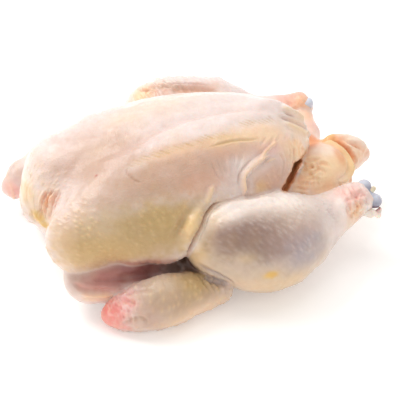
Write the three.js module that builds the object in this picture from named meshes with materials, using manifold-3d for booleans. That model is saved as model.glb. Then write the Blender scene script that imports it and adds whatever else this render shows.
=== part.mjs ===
// A whole raw chicken, plucked and drawn, lying on its back with the breast up.
// X runs from the neck end to the tail, Y across the bird and Z up, in millimetres.
// The bird is one solid: rounded masses and limbs run into each other with soft creases.
import * as THREE from 'three';
import { mergeVertices } from 'three/addons/utils/BufferGeometryUtils.js';
import Module from 'manifold-3d';

// The breast is a drop: widest near the neck, longer and narrower towards the tail, where
// its middle line rises.
const BREAST = { x: -32, z: 50, front: 84, rear: 107, halfWidth: 64, above: 49.5, below: 19 };
const BREAST_TILT = 0.09;
const BREAST_TAPER = 0.0012;
const BREASTBONE = { start: 15, end: 95, height: 5, halfWidth: 9 };
const BACK = { centre: [-8, 0, 29], radii: [98, 50, 34] };
// Loose skin joins the thighs to the back, and the legs to the belly behind the breast.
const FLANKS = { centre: [12, 0, 22], radii: [62, 68, 18] };
const APRON = { centre: [62, 2, 27], radii: [38, 60, 17] };

// A limb is a row of stations from end to end: x, y, z and radius. The upper wing is given
// for the near side, where y is negative, and is mirrored.
const NEAR_CROP = [[-78, -30, 58, 24], [-96, -33, 50, 22.5]];
const FAR_CROP = [[-58, 29, 62, 25], [-85, 25, 57, 24], [-94, 17, 47, 23]];
// A roll of skin on the breast's near side, which the folded leg pushes up.
const SIDE_ROLL = [[-30, -58, 60, 8], [-37, -59, 48, 8], [-46, -56, 42, 8], [-66, -50, 42, 8]];
const NECK_GROOVE = [[-116, -8, 26, 12], [-124, -10, 46, 12], [-110, -10, 72, 9], [-84, -6, 94, 6],
  [-50, -3, 103, 6], [0, 3, 104, 5], [30, 3, 104, 5]];
const NEAR_LEG = [[-22, -64, 39, 12], [-9, -62, 43, 20.5], [7, -62, 35.5, 27.5], [21, -62, 31, 28.5],
  [34, -61, 31, 26.5], [47, -60, 31, 19], [62, -57, 33, 12], [77, -54, 36, 10.5], [91, -53, 39, 11]];
const FAR_LEG = [[-8, 80, 51, 13], [3, 77, 48, 20], [15, 73, 43, 24.5], [29, 70, 38, 26.5],
  [41, 68, 35, 25.5], [53, 66, 33, 19.5], [66, 62, 33, 12], [81, 59, 37, 8.5], [98, 55, 41, 9.6]];
const FAR_THIGH = [[10, 66, 22, 20], [40, 58, 21, 20]];
const UPPER_WING = [[-93, -43, 24, 17.5], [-72, -49, 20, 14.5], [-22, -56, 20, 12]];
const NEAR_WING = [[-87, -65, 8, 6.5], [-79, -68, 10.5, 9.5], [-69, -72, 13.5, 13], [-57, -73, 15.5, 15],
  [-46, -72, 16, 14], [-33, -71, 14, 11.5], [-18, -72, 13, 10.5]];
const FAR_WING = [[-108, 70, 20, 7.5], [-98, 74, 23, 10], [-80, 78, 26, 13], [-58, 80, 22, 17],
  [-38, 80, 19, 17], [-18, 80, 22, 13]];
const VENT = [[56, -28, 34, 14], [82, -13, 34, 19], [91, 0, 32, 13]];
const TAIL = [[101, 4, 35, 12], [110, 1, 33, 11], [121, 0, 31, 4.5]];
const FAR_WEB = [[96, 47, 37, 8], [92, 32, 34, 8], [84, 14, 36, 10]];
// The belly was opened behind the breast: the slit runs down under the skin's edge.
const SLIT = [[73, -7, 56, 2.8], [64, -18, 53, 4], [55, -27, 49, 4.4], [43, -37, 46, 3.6]];
const SLIT_DEEP = [5, 12, -10];
// The knife cut the belly skin straight, inwards along this way.
const BELLY_CUT = [[68, -21.5, 69, 2.4], [61, -26.7, 62.5, 3.4], [56.5, -27.7, 59, 3.6], [52, -31.6, 52, 3.4],
  [46, -33.6, 46.7, 2.5]];
const BELLY_CUT_WAY = new THREE.Vector3(0.305, 0.732, -0.61);
const BELLY_CUT_OUT = 25;
const BELLY_CUT_IN = 8;

// The two rounded ends of each shin bone, which stand out of the skin at the hock.
const KNUCKLES = [
  { at: [95.6, -49.9, 45.5], radius: 5 },
  { at: [100.4, -58.1, 38.3], radius: 5.5 },
  { at: [103, 59, 44], radius: 5 },
];
const KNUCKLE_SIDES = 14;

const CELL = 6;
const MARGIN = 8;
const SPACE = new THREE.Box3(new THREE.Vector3(-126, -104, -10), new THREE.Vector3(130, 110, 108));
const TABLE_CUT = 60;

function softMin(a, b, blend) {
  const overlap = Math.max(blend - Math.abs(a - b), 0) / blend;
  return Math.min(a, b) - overlap * overlap * blend * 0.25;
}

function softMax(a, b, blend) {
  return -softMin(-a, -b, blend);
}

// Distance to an ellipsoid, near enough close to its surface.
function ellipsoid(x, y, z, rx, ry, rz) {
  const reach = Math.hypot(x / rx, y / ry, z / rz);
  const slope = Math.hypot(x / rx ** 2, y / ry ** 2, z / rz ** 2) + 1e-9;
  return reach * (reach - 1) / slope;
}

function mass(x, y, z, { centre, radii }) {
  return ellipsoid(x - centre[0], y - centre[1], z - centre[2], ...radii);
}

// Distance to a limb, whose radius runs smoothly from station to station.
function limb(x, y, z, stations, blend) {
  let distance = Infinity;
  for (let i = 0; i + 1 < stations.length; i += 1) {
    const [ax, ay, az, ar] = stations[i];
    const [bx, by, bz, br] = stations[i + 1];
    const [dx, dy, dz] = [bx - ax, by - ay, bz - az];
    const along = ((x - ax) * dx + (y - ay) * dy + (z - az) * dz) / (dx * dx + dy * dy + dz * dz);
    const t = THREE.MathUtils.clamp(along, 0, 1);
    const eased = (t * t * (3 - 2 * t) + t) / 2;
    const toAxis = Math.hypot(x - ax - t * dx, y - ay - t * dy, z - az - t * dz);
    const piece = toAxis - (ar + (br - ar) * eased);
    distance = distance === Infinity ? piece : softMin(distance, piece, blend);
  }
  return distance;
}

function breast(x, y, z) {
  const dx = x - BREAST.x;
  const dz = z - BREAST.z - BREAST_TILT * dx;
  const halfWidth = BREAST.halfWidth * (1 - BREAST_TAPER * Math.max(dx, 0));
  const length = dx > 0 ? BREAST.rear : BREAST.front;
  const height = dz > 0 ? BREAST.above : BREAST.below;
  let d = ellipsoid(dx, y, dz, length, halfWidth, height);
  const along = THREE.MathUtils.smoothstep(x, BREASTBONE.start, BREASTBONE.end);
  const rise = BREASTBONE.height * Math.sin(Math.PI * along);
  d -= rise * Math.exp(-((y / BREASTBONE.halfWidth) ** 2));
  d = softMin(d, softMin(limb(x, y, z, NEAR_CROP, 10), limb(x, y, z, FAR_CROP, 10), 8), 12);
  return softMax(d, -limb(x, y, z, NECK_GROOVE, 6), 14);
}

function slit(x, y, z) {
  const [dx, dy, dz] = SLIT_DEEP;
  const runs = [0, 0.5, 1].map((t) => limb(x - dx * t, y - dy * t, z - dz * t, SLIT, 2));
  return softMin(runs[0], softMin(runs[1], runs[2], 2), 2);
}

function bellyCut(x, y, z) {
  const start = new THREE.Vector3(...BELLY_CUT[1]);
  const inwards = new THREE.Vector3(x, y, z).sub(start).dot(BELLY_CUT_WAY);
  const run = THREE.MathUtils.clamp(inwards, -BELLY_CUT_OUT, BELLY_CUT_IN);
  const onStart = new THREE.Vector3(x, y, z).addScaledVector(BELLY_CUT_WAY, -run);
  return limb(...onStart.toArray(), BELLY_CUT, 2);
}

// Signed distance to the bird's skin: negative inside.
function skin(x, y, z) {
  const side = -Math.abs(y);
  let d = softMin(mass(x, y, z, BACK), mass(x, y, z, FLANKS), 12);
  d = softMin(d, breast(x, y, z), 10);
  d = softMin(d, limb(x, y, z, SIDE_ROLL, 8), 8);
  d = softMax(d, -bellyCut(x, y, z), 2);
  d = softMin(d, mass(x, y, z, APRON), 5);
  const farLeg = softMin(limb(x, y, z, FAR_LEG, 12), limb(x, y, z, FAR_THIGH, 12), 12);
  d = softMin(d, Math.min(limb(x, y, z, NEAR_LEG, 12), farLeg), 6);
  d = softMin(d, limb(x, side, z, UPPER_WING, 10), 5);
  d = softMin(d, Math.min(limb(x, y, z, NEAR_WING, 10), limb(x, y, z, FAR_WING, 10)), 5);
  const rear = softMin(limb(x, y, z, VENT, 10), limb(x, y, z, TAIL, 8), 4);
  d = softMin(d, softMin(rear, limb(x, y, z, FAR_WEB, 8), 5), 4);
  return softMax(d, -slit(x, y, z), 2);
}

const CORNERS = [0, 1, 2, 3, 4, 5, 6, 7].map((c) => [c & 1, (c >> 1) & 1, (c >> 2) & 1]);

// Splits a set of a cell's corners, given as bits, into the groups that cell edges connect.
function cornerGroups(set) {
  const groups = [];
  let left = set;
  while (left) {
    let group = left & -left;
    for (let pass = 0; pass < 8; pass += 1) {
      for (let c = 0; c < 8; c += 1) {
        const touches = [1, 2, 4].some((bit) => group & (1 << (c ^ bit)));
        if (set & (1 << c) && touches) group |= 1 << c;
      }
    }
    groups.push(group);
    left &= ~group;
  }
  return groups;
}

const GROUPS = Array.from({ length: 256 }, (_, set) => cornerGroups(set));

// Where two sheets of skin meet in one cell, the smaller group of corners changes side,
// so that every cell holds one sheet at most.
function separateSheets(values, cells, strides) {
  const offsets = CORNERS.map(([i, j, k]) => i + j * strides[1] + k * strides[2]);
  for (let pass = 0, changed = true; changed && pass < 20; pass += 1) {
    changed = false;
    for (const cell of cells) {
      let inside = 0;
      offsets.forEach((offset, c) => {
        if (values[cell + offset] < 0) inside |= 1 << c;
      });
      const split = [GROUPS[inside], GROUPS[255 - inside]].filter((groups) => groups.length > 1);
      if (split.length === 0) continue;
      const depth = (group) => Math.max(
        ...offsets.map((offset, c) => (group & (1 << c) ? Math.abs(values[cell + offset]) : 0)),
      );
      const smallest = split.flat().sort((a, b) => depth(a) - depth(b))[0];
      offsets.forEach((offset, c) => {
        if (smallest & (1 << c)) values[cell + offset] = -Math.sign(values[cell + offset]) * 0.1;
      });
      changed = true;
    }
  }
}

// One vertex in each grid cell that the skin crosses, and a quad round each crossed grid edge.
function skinGeometry() {
  const size = SPACE.getSize(new THREE.Vector3());
  const counts = size.toArray().map((length) => Math.ceil(length / CELL) + 1);
  const strides = [1, counts[0], counts[0] * counts[1]];
  const gridPoint = (i, j, k) => SPACE.min.clone().add(new THREE.Vector3(i, j, k).multiplyScalar(CELL));
  const values = new Float64Array(counts[0] * counts[1] * counts[2]);
  const eachPoint = (visit) => {
    for (let k = 0; k < counts[2]; k += 1) {
      for (let j = 0; j < counts[1]; j += 1) {
        for (let i = 0; i < counts[0]; i += 1) visit(i, j, k, i + j * strides[1] + k * strides[2]);
      }
    }
  };
  eachPoint((i, j, k, index) => {
    values[index] = skin(...gridPoint(i, j, k).toArray());
  });

  const cells = [];
  eachPoint((i, j, k, index) => {
    if (i + 1 < counts[0] && j + 1 < counts[1] && k + 1 < counts[2]) cells.push(index);
  });
  separateSheets(values, cells, strides);

  const positions = [];
  const vertexOfCell = new Int32Array(values.length).fill(-1);
  eachPoint((i, j, k, index) => {
    if (i + 1 >= counts[0] || j + 1 >= counts[1] || k + 1 >= counts[2]) return;
    const sum = new THREE.Vector3();
    let crossings = 0;
    for (const from of CORNERS) {
      for (let axis = 0; axis < 3; axis += 1) {
        if (from[axis] === 1) continue;
        const a = values[index + from[0] + from[1] * strides[1] + from[2] * strides[2]];
        const b = values[index + from[0] + from[1] * strides[1] + from[2] * strides[2] + strides[axis]];
        if ((a < 0) === (b < 0)) continue;
        const crossing = new THREE.Vector3(...from);
        crossing.setComponent(axis, a / (a - b));
        sum.add(crossing);
        crossings += 1;
      }
    }
    if (crossings === 0) return;
    const point = gridPoint(i, j, k).addScaledVector(sum.divideScalar(crossings), CELL);
    vertexOfCell[index] = positions.length / 3;
    positions.push(...point.toArray());
  });

  const triangles = [];
  eachPoint((i, j, k, index) => {
    for (let axis = 0; axis < 3; axis += 1) {
      const [u, v] = [(axis + 1) % 3, (axis + 2) % 3];
      const at = [i, j, k];
      if (at[axis] + 1 >= counts[axis] || at[u] === 0 || at[v] === 0) continue;
      const inside = values[index] < 0;
      if (inside === (values[index + strides[axis]] < 0)) continue;
      const quad = [
        vertexOfCell[index],
        vertexOfCell[index - strides[u]],
        vertexOfCell[index - strides[u] - strides[v]],
        vertexOfCell[index - strides[v]],
      ];
      if (!inside) quad.reverse();
      triangles.push(quad[0], quad[1], quad[2], quad[0], quad[2], quad[3]);
    }
  });
  const geometry = new THREE.BufferGeometry();
  geometry.setAttribute('position', new THREE.Float32BufferAttribute(positions, 3));
  geometry.setIndex(triangles);
  return geometry;
}

const wasm = await Module();
wasm.setup();

function toSolid(geometry) {
  const bare = geometry.clone();
  bare.deleteAttribute('normal');
  bare.deleteAttribute('uv');
  const merged = mergeVertices(bare, 1e-4);
  return new wasm.Manifold(new wasm.Mesh({
    numProp: 3,
    vertProperties: new Float32Array(merged.attributes.position.array),
    triVerts: new Uint32Array(merged.index.array),
  }));
}

function toGeometry(solid) {
  const mesh = solid.getMesh();
  const geometry = new THREE.BufferGeometry();
  geometry.setAttribute('position', new THREE.Float32BufferAttribute(mesh.vertProperties, 3));
  geometry.setIndex([...mesh.triVerts]);
  geometry.computeVertexNormals();
  return geometry;
}

function chickenGeometry() {
  let bird = toSolid(skinGeometry());
  for (const { at, radius } of KNUCKLES) {
    const ball = new THREE.SphereGeometry(radius, KNUCKLE_SIDES, KNUCKLE_SIDES / 2).translate(...at);
    bird = bird.add(toSolid(ball));
  }
  // The weight of the bird presses its back, wings and legs flat on the table.
  const { min, max } = SPACE;
  const below = new THREE.BoxGeometry(max.x - min.x + 2 * MARGIN, max.y - min.y + 2 * MARGIN, TABLE_CUT);
  below.translate((max.x + min.x) / 2, (max.y + min.y) / 2, -TABLE_CUT / 2);
  bird = bird.subtract(toSolid(below));
  const geometry = toGeometry(bird);
  geometry.computeBoundingBox();
  const middle = geometry.boundingBox.getCenter(new THREE.Vector3());
  return geometry.translate(-middle.x, -middle.y, -geometry.boundingBox.min.z);
}

const skinMaterial = new THREE.MeshStandardMaterial({ color: 0xe3c6ad, roughness: 0.45, metalness: 0 });
const chicken = new THREE.Mesh(chickenGeometry(), skinMaterial);
chicken.name = 'chicken';

const bird = new THREE.Group();
bird.add(chicken);

export default bird;
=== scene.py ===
# A whole raw chicken, plucked and drawn, lying on its back with the breast up.
# X runs from the neck end to the tail, Y across the bird and Z up.
import math
import bpy
import numpy as np
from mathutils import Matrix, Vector


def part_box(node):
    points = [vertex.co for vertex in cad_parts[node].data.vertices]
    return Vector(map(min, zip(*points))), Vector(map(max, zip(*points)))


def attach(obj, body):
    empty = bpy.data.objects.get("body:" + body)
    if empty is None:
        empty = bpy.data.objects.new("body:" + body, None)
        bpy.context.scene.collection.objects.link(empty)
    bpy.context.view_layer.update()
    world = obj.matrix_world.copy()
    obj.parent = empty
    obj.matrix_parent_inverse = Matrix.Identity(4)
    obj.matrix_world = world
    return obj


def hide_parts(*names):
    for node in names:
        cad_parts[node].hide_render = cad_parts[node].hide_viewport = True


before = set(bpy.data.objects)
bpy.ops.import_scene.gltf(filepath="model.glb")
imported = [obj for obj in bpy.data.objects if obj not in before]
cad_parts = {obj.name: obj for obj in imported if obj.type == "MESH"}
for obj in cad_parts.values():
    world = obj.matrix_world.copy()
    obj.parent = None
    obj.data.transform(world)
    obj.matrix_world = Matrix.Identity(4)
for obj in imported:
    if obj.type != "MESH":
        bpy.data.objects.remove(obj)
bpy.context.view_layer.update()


# The camera looks down on the bird's near side, from a little towards its neck end.
# It stands well back, as a long lens does for a picture of food.
CAMERA_AZIMUTH = math.radians(-22.5)
CAMERA_ELEVATION = math.radians(38)
CAMERA_DISTANCE = 1.3
CAMERA_LENS = 175.5
CAMERA_AIM = Vector((-0.0037, -0.0035, 0.027))

towards_camera = Vector((
    math.sin(CAMERA_AZIMUTH) * math.cos(CAMERA_ELEVATION),
    -math.cos(CAMERA_AZIMUTH) * math.cos(CAMERA_ELEVATION),
    math.sin(CAMERA_ELEVATION),
))
camera = bpy.data.objects.new("camera", bpy.data.cameras.new("camera"))
camera.data.lens = CAMERA_LENS
camera.location = CAMERA_AIM + towards_camera * CAMERA_DISTANCE
camera.rotation_euler = (-towards_camera).to_track_quat("-Z", "Y").to_euler()
bpy.context.scene.collection.objects.link(camera)
bpy.context.scene.camera = camera


# The bird lies on a plain white surface under a very large soft light from above and behind.
# The room is white too, so the side towards the camera is filled with weak light.
WINDOW_PLACE, WINDOW_SIZE, WINDOW_POWER = (-0.5, 0.7, 1.1), 0.8, 11
TOP_PLACE, TOP_SIZE, TOP_POWER = (0.2, 0.1, 1.3), 0.7, 2.5
ROOM_BRIGHTNESS = 0.76
FLOOR_SIZE, FLOOR_GLOW = 6, 0.2

bpy.context.scene.view_settings.view_transform = "Standard"


def area_light(name, place, size, power, colour):
    light = bpy.data.objects.new(name, bpy.data.lights.new(name, "AREA"))
    light.data.size = size
    light.data.energy = power
    light.data.color = colour
    light.location = Vector(place)
    light.rotation_euler = (-Vector(place)).to_track_quat("-Z", "Y").to_euler()
    bpy.context.scene.collection.objects.link(light)


area_light("window_light", WINDOW_PLACE, WINDOW_SIZE, WINDOW_POWER, (1.0, 0.98, 0.95))
area_light("top_light", TOP_PLACE, TOP_SIZE, TOP_POWER, (1.0, 0.98, 0.96))

world = bpy.data.worlds.new("white_room")
world.use_nodes = True
world.node_tree.nodes["Background"].inputs["Color"].default_value = (1.0, 0.99, 0.98, 1)
world.node_tree.nodes["Background"].inputs["Strength"].default_value = ROOM_BRIGHTNESS
bpy.context.scene.world = world

bpy.ops.mesh.primitive_plane_add(size=FLOOR_SIZE)
floor = bpy.context.object
floor.name = "floor"
floor_white = bpy.data.materials.new("floor_white")
floor_white.use_nodes = True
floor_shader = floor_white.node_tree.nodes["Principled BSDF"]
floor_shader.inputs["Base Color"].default_value = (0.95, 0.945, 0.94, 1)
floor_shader.inputs["Roughness"].default_value = 0.9
floor_shader.inputs["Emission Color"].default_value = (1.0, 0.985, 0.96, 1)
floor_shader.inputs["Emission Strength"].default_value = FLOOR_GLOW
floor.data.materials.append(floor_white)


# The breast: two full, soft muscles under one skin, wide at the neck end and narrowing
# towards the tail. A shallow valley runs between them, and behind it the breastbone shows.
# All the bird's shapes are distances in millimetres to rounded masses, which blend.
BREAST_X, BREAST_Z, BREAST_TILT = -32, 50, 0.09
BREAST_FRONT, BREAST_REAR = 84, 107
BREAST_HALF_WIDTH, BREAST_TAPER = 64, 0.0012
BREAST_ABOVE, BREAST_BELOW = 49.5, 19
BREASTBONE_START, BREASTBONE_END, BREASTBONE_HEIGHT, BREASTBONE_HALF_WIDTH = 15, 95, 5, 9
NEAR_CROP = [(-78, -30, 58, 24), (-96, -33, 50, 22.5)]
FAR_CROP = [(-58, 29, 62, 25), (-85, 25, 57, 24), (-94, 17, 47, 23)]
SIDE_ROLL = [(-30, -58, 60, 8), (-37, -59, 48, 8), (-46, -56, 42, 8), (-66, -50, 42, 8)]
NECK_GROOVE = [(-116, -8, 26, 12), (-124, -10, 46, 12), (-110, -10, 72, 9), (-84, -6, 94, 6),
               (-50, -3, 103, 6), (0, 3, 104, 5), (30, 3, 104, 5)]


def soft_min(a, b, blend):
    """The lower of two distances, blended where they are nearly alike."""
    overlap = np.maximum(blend - np.abs(a - b), 0) / blend
    return np.minimum(a, b) - overlap * overlap * blend * 0.25


def soft_max(a, b, blend):
    return -soft_min(-a, -b, blend)


def ramp(x, start, end):
    """0 before the start and 1 after the end, with a smooth rise between them."""
    t = np.clip((x - start) / (end - start), 0, 1)
    return t * t * (3 - 2 * t)


def ellipsoid(x, y, z, rx, ry, rz):
    """About the distance to an ellipsoid with these radii round the origin."""
    reach = np.sqrt((x / rx) ** 2 + (y / ry) ** 2 + (z / rz) ** 2)
    slope = np.sqrt((x / rx ** 2) ** 2 + (y / ry ** 2) ** 2 + (z / rz ** 2) ** 2) + 1e-9
    return reach * (reach - 1) / slope


def limb(p, stations, blend):
    """Distance to a row of stations (x, y, z, radius), whose radius runs smoothly between them."""
    distance = None
    for (ax, ay, az, ar), (bx, by, bz, br) in zip(stations, stations[1:]):
        dx, dy, dz = bx - ax, by - ay, bz - az
        x, y, z = p[0] - ax, p[1] - ay, p[2] - az
        t = np.clip((x * dx + y * dy + z * dz) / (dx * dx + dy * dy + dz * dz), 0, 1)
        eased = (t * t * (3 - 2 * t) + t) / 2
        to_axis = np.sqrt((x - t * dx) ** 2 + (y - t * dy) ** 2 + (z - t * dz) ** 2)
        piece = to_axis - (ar + (br - ar) * eased)
        distance = piece if distance is None else soft_min(distance, piece, blend)
    return distance


def breast(p):
    dx = p[0] - BREAST_X
    dz = p[2] - BREAST_Z - BREAST_TILT * dx
    half_width = BREAST_HALF_WIDTH * (1 - BREAST_TAPER * np.maximum(dx, 0))
    length = np.where(dx > 0, BREAST_REAR, BREAST_FRONT)
    height = np.where(dz > 0, BREAST_ABOVE, BREAST_BELOW)
    d = ellipsoid(dx, p[1], dz, length, half_width, height)
    rise = BREASTBONE_HEIGHT * np.sin(np.pi * ramp(p[0], BREASTBONE_START, BREASTBONE_END))
    d = d - rise * np.exp(-(p[1] / BREASTBONE_HALF_WIDTH) ** 2)
    d = soft_min(d, soft_min(limb(p, NEAR_CROP, 10), limb(p, FAR_CROP, 10), 8), 12)
    return soft_max(d, -limb(p, NECK_GROOVE, 6), 14)


# The back and the loose skin on it: the bird's weight rests here. Skin joins the thighs to
# the back, and the legs to the belly behind the breast.
BACK = ((-8, 0, 29), (98, 50, 34))
FLANKS = ((12, 0, 22), (62, 68, 18))
APRON = ((62, 2, 27), (38, 60, 17))


def mass(p, shape):
    centre, radii = shape
    return ellipsoid(p[0] - centre[0], p[1] - centre[1], p[2] - centre[2], *radii)


# The legs: thigh and drumstick folded into one ham shape, which narrows to the hock.
# The far leg lies a little higher, with its thigh reaching down to the table.
NEAR_LEG = [(-22, -64, 39, 12), (-9, -62, 43, 20.5), (7, -62, 35.5, 27.5), (21, -62, 31, 28.5),
            (34, -61, 31, 26.5), (47, -60, 31, 19), (62, -57, 33, 12), (77, -54, 36, 10.5),
            (91, -53, 39, 11)]
FAR_LEG = [(-8, 80, 51, 13), (3, 77, 48, 20), (15, 73, 43, 24.5), (29, 70, 38, 26.5),
           (41, 68, 35, 25.5), (53, 66, 33, 19.5), (66, 62, 33, 12), (81, 59, 37, 8.5), (98, 55, 41, 9.6)]
FAR_THIGH = [(10, 66, 22, 20), (40, 58, 21, 20)]
HOCK_SOCKETS = [[(101, -53, 44, 7), (92, -54, 41, 4)], [(108, 56, 45, 6), (101, 56, 43, 3)]]


def legs(p):
    far = soft_min(limb(p, FAR_LEG, 12), limb(p, FAR_THIGH, 12), 12)
    d = np.minimum(limb(p, NEAR_LEG, 12), far)
    for socket in HOCK_SOCKETS:
        d = soft_max(d, -limb(p, socket, 3), 2.5)
    return d


# The wings: the upper wing lies in the shadow below the breast, and the lower wing is
# folded back along the bird's side. Their tips are cut off at the wrist.
UPPER_WING = [(-93, -43, 24, 17.5), (-72, -49, 20, 14.5), (-22, -56, 20, 12)]
NEAR_WING = [(-87, -65, 8, 6.5), (-79, -68, 10.5, 9.5), (-69, -72, 13.5, 13), (-57, -73, 15.5, 15),
             (-46, -72, 16, 14), (-33, -71, 14, 11.5), (-18, -72, 13, 10.5)]
FAR_WING = [(-108, 70, 20, 7.5), (-98, 74, 23, 10), (-80, 78, 26, 13), (-58, 80, 22, 17),
            (-38, 80, 19, 17), (-18, 80, 22, 13)]


# The rear: the skin round the vent, drawn tight over the hip bones, and the short tail.
# The belly was opened behind the breast, and the skin's cut edge hangs over the slit. The slit
# goes in under the breast, and the cut through the breast's skin runs straight inwards.
VENT = [(56, -28, 34, 14), (82, -13, 34, 19), (91, 0, 32, 13)]
TAIL = [(101, 4, 35, 12), (110, 1, 33, 11), (121, 0, 31, 4.5)]
FAR_WEB = [(96, 47, 37, 8), (92, 32, 34, 8), (84, 14, 36, 10)]
SLIT = [(72, -6.6, 56, 1.4), (62.5, -17.4, 53, 1.9), (53.5, -26.4, 49, 2.3), (41.5, -36.4, 46, 2.4)]
SLIT_DEEP, SLIT_RUNS = (5, 12, -10), (-0.2, 0.15, 0.5)
BELLY_CUT = [(69.8, -22.4, 69, 1.2), (62, -27, 62.5, 1.7), (56.3, -27.8, 59, 2.1),
             (51.2, -31.3, 52, 2.3), (46, -33.6, 46.7, 2.3)]
BELLY_CUT_WAY = (0.305, 0.732, -0.61)
BELLY_CUT_OUT, BELLY_CUT_IN = 25, 12
ARMPIT = [(-94, -58, 33, 0.5), (-76, -61, 31.5, 2.4), (-58, -62, 29.5, 4.3), (-44, -64, 27.5, 4.5)]


def rear(p):
    return soft_min(limb(p, VENT, 10), limb(p, TAIL, 8), 4)


def slit(p):
    dx, dy, dz = SLIT_DEEP
    runs = [[(x + dx * t, y + dy * t, z + dz * t, r) for x, y, z, r in SLIT] for t in SLIT_RUNS]
    outer, middle, inner = [limb(p, run, 2) for run in runs]
    return soft_min(outer, soft_min(middle, inner, 2), 2)


def belly_cut(p):
    """Distance to the straight cut of the belly skin, which runs inwards from outside it."""
    start = BELLY_CUT[1]
    inwards = sum((p[i] - start[i]) * BELLY_CUT_WAY[i] for i in range(3))
    inwards = np.clip(inwards, -BELLY_CUT_OUT, BELLY_CUT_IN)
    return limb([p[i] - inwards * BELLY_CUT_WAY[i] for i in range(3)], BELLY_CUT, 2)


# The whole skin as one distance, negative inside. Creases are tighter where limbs lie
# against the body, and the table flattens what rests on it.
CREASES = {"apron": 5, "legs": 2.5, "upper_wing": 4, "wings": 2, "rear": 2}
SLIT_ROUNDING, ARMPIT_ROUNDING, TABLE_ROUNDING = 1.5, 4, 1.5


def part_distances(p):
    mirrored = (p[0], -np.abs(p[1]), p[2])
    torso = soft_min(mass(p, BACK), mass(p, FLANKS), 12)
    torso = soft_min(soft_min(torso, breast(p), 10), limb(p, SIDE_ROLL, 8), 8)
    return {
        "breast": soft_max(torso, -belly_cut(p), 1.5),
        "apron": mass(p, APRON),
        "legs": legs(p),
        "upper_wing": limb(mirrored, UPPER_WING, 10),
        "wings": np.minimum(limb(p, NEAR_WING, 10), limb(p, FAR_WING, 10)),
        "rear": soft_min(rear(p), limb(p, FAR_WEB, 8), 5),
    }


def skin(p):
    parts = part_distances(p)
    d = parts["breast"]
    for name, blend in CREASES.items():
        d = soft_min(d, parts[name], blend)
    d = soft_max(d, -slit(p), SLIT_ROUNDING)
    d = soft_max(d, -limb(p, ARMPIT, 4), ARMPIT_ROUNDING)
    return soft_max(d, -p[2], TABLE_ROUNDING)


# The skin's surface is found on a fine grid, which is only worked out close to the skin.
# A vertex stands in each cell that the skin crosses, with a face round each crossed edge.
# SPACE is the grid's box, and CHUNK is how many points are worked out at once.
CELL = 0.8
SPACE = ((-124.0, -104.0, -4.0), (130.0, 108.0, 104.0))
COARSE_STEPS, COARSE_MARGIN = 4, 1.3
CHUNK = 150000
SLOPE_REACH, LARGEST_MOVE, LEAST_STEEPNESS = 0.3, 0.6, 0.5


def sampled(function, points):
    """Works a distance out for rows of points, a chunk at a time."""
    result = np.empty(len(points))
    for start in range(0, len(points), CHUNK):
        rows = points[start:start + CHUNK]
        result[start:start + CHUNK] = function((rows[:, 0], rows[:, 1], rows[:, 2]))
    return result


def grid_values(function, space, cell):
    low, high = np.array(space)
    coarse_cell = cell * COARSE_STEPS
    counts = np.ceil((high - low) / coarse_cell).astype(int)
    centres = np.stack(np.meshgrid(*[np.arange(n) for n in counts], indexing="ij"), -1).reshape(-1, 3)
    middle = low + (centres + 0.5) * coarse_cell - cell / 2
    coarse = sampled(function, middle).reshape(counts)
    near = np.abs(coarse) < coarse_cell * COARSE_MARGIN
    block = np.ones((COARSE_STEPS,) * 3)
    values = np.kron(np.where(near, 0, coarse), block)
    fine = np.argwhere(np.kron(near, block) > 0)
    values[tuple(fine.T)] = sampled(function, low + fine * cell)
    return values


def surface_net(function, space, cell):
    values = grid_values(function, space, cell)
    cells, places, quads, total = [], [], [], 0
    shape = values.shape
    step = np.eye(3, dtype=int)
    for axis in range(3):
        u, w = (axis + 1) % 3, (axis + 2) % 3
        lower = np.take(values, range(shape[axis] - 1), axis)
        upper = np.take(values, range(1, shape[axis]), axis)
        edges = np.argwhere((lower < 0) != (upper < 0))
        a, b = lower[tuple(edges.T)], upper[tuple(edges.T)]
        corners = []
        for du, dw in ((1, 1), (0, 1), (0, 0), (1, 0)):
            place = np.zeros((len(edges), 3))
            place[:, axis], place[:, u], place[:, w] = a / (a - b), du, dw
            cells.append(np.ravel_multi_index((edges - du * step[u] - dw * step[w]).T, shape))
            places.append(place)
            corners.append(total + np.arange(len(edges)))
            total += len(edges)
        quad = np.stack(corners, 1)
        quad[a >= 0] = quad[a >= 0][:, ::-1]
        quads.append(quad)
    ids, vertex = np.unique(np.concatenate(cells), return_inverse=True)
    places = np.concatenate(places)
    counts = np.bincount(vertex)
    inside_cell = np.stack([np.bincount(vertex, places[:, i]) / counts for i in range(3)], 1)
    corners = np.stack(np.unravel_index(ids, shape), 1)
    return np.array(space[0]) + (corners + inside_cell) * cell, vertex[np.concatenate(quads)]


def settled(function, space, cell):
    """The surface's points, moved exactly onto it, with their faces and normals."""
    points, quads = surface_net(function, space, cell)
    reach = cell * SLOPE_REACH
    shifts = np.eye(3) * reach
    slopes = [sampled(function, points + s) - sampled(function, points - s) for s in shifts]
    slopes = np.stack(slopes, 1) / (2 * reach)
    steepness = np.maximum(np.linalg.norm(slopes, axis=1), LEAST_STEEPNESS)
    most = cell * LARGEST_MOVE
    step = np.clip(sampled(function, points) / steepness ** 2, -most, most)
    return points - slopes * step[:, None], quads, slopes / steepness[:, None]


skin_points, skin_quads, skin_normals = settled(skin, SPACE, CELL)
smooth_low, smooth_high = skin_points.min(0), skin_points.max(0)
raised = np.zeros(len(skin_points))


# How much each point of the skin belongs to a part: 1 well inside it, 0 beyond its border.
# In the same way it may belong to a crease between parts, which gets painted shade, the slit or the
# belly's cut.
BORDER_START, BORDER_END = -1.2, 1.8
CREASE_REACH, SLIT_REACH, CUT_REACH = 1.6, 1.0, 0.8

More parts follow.
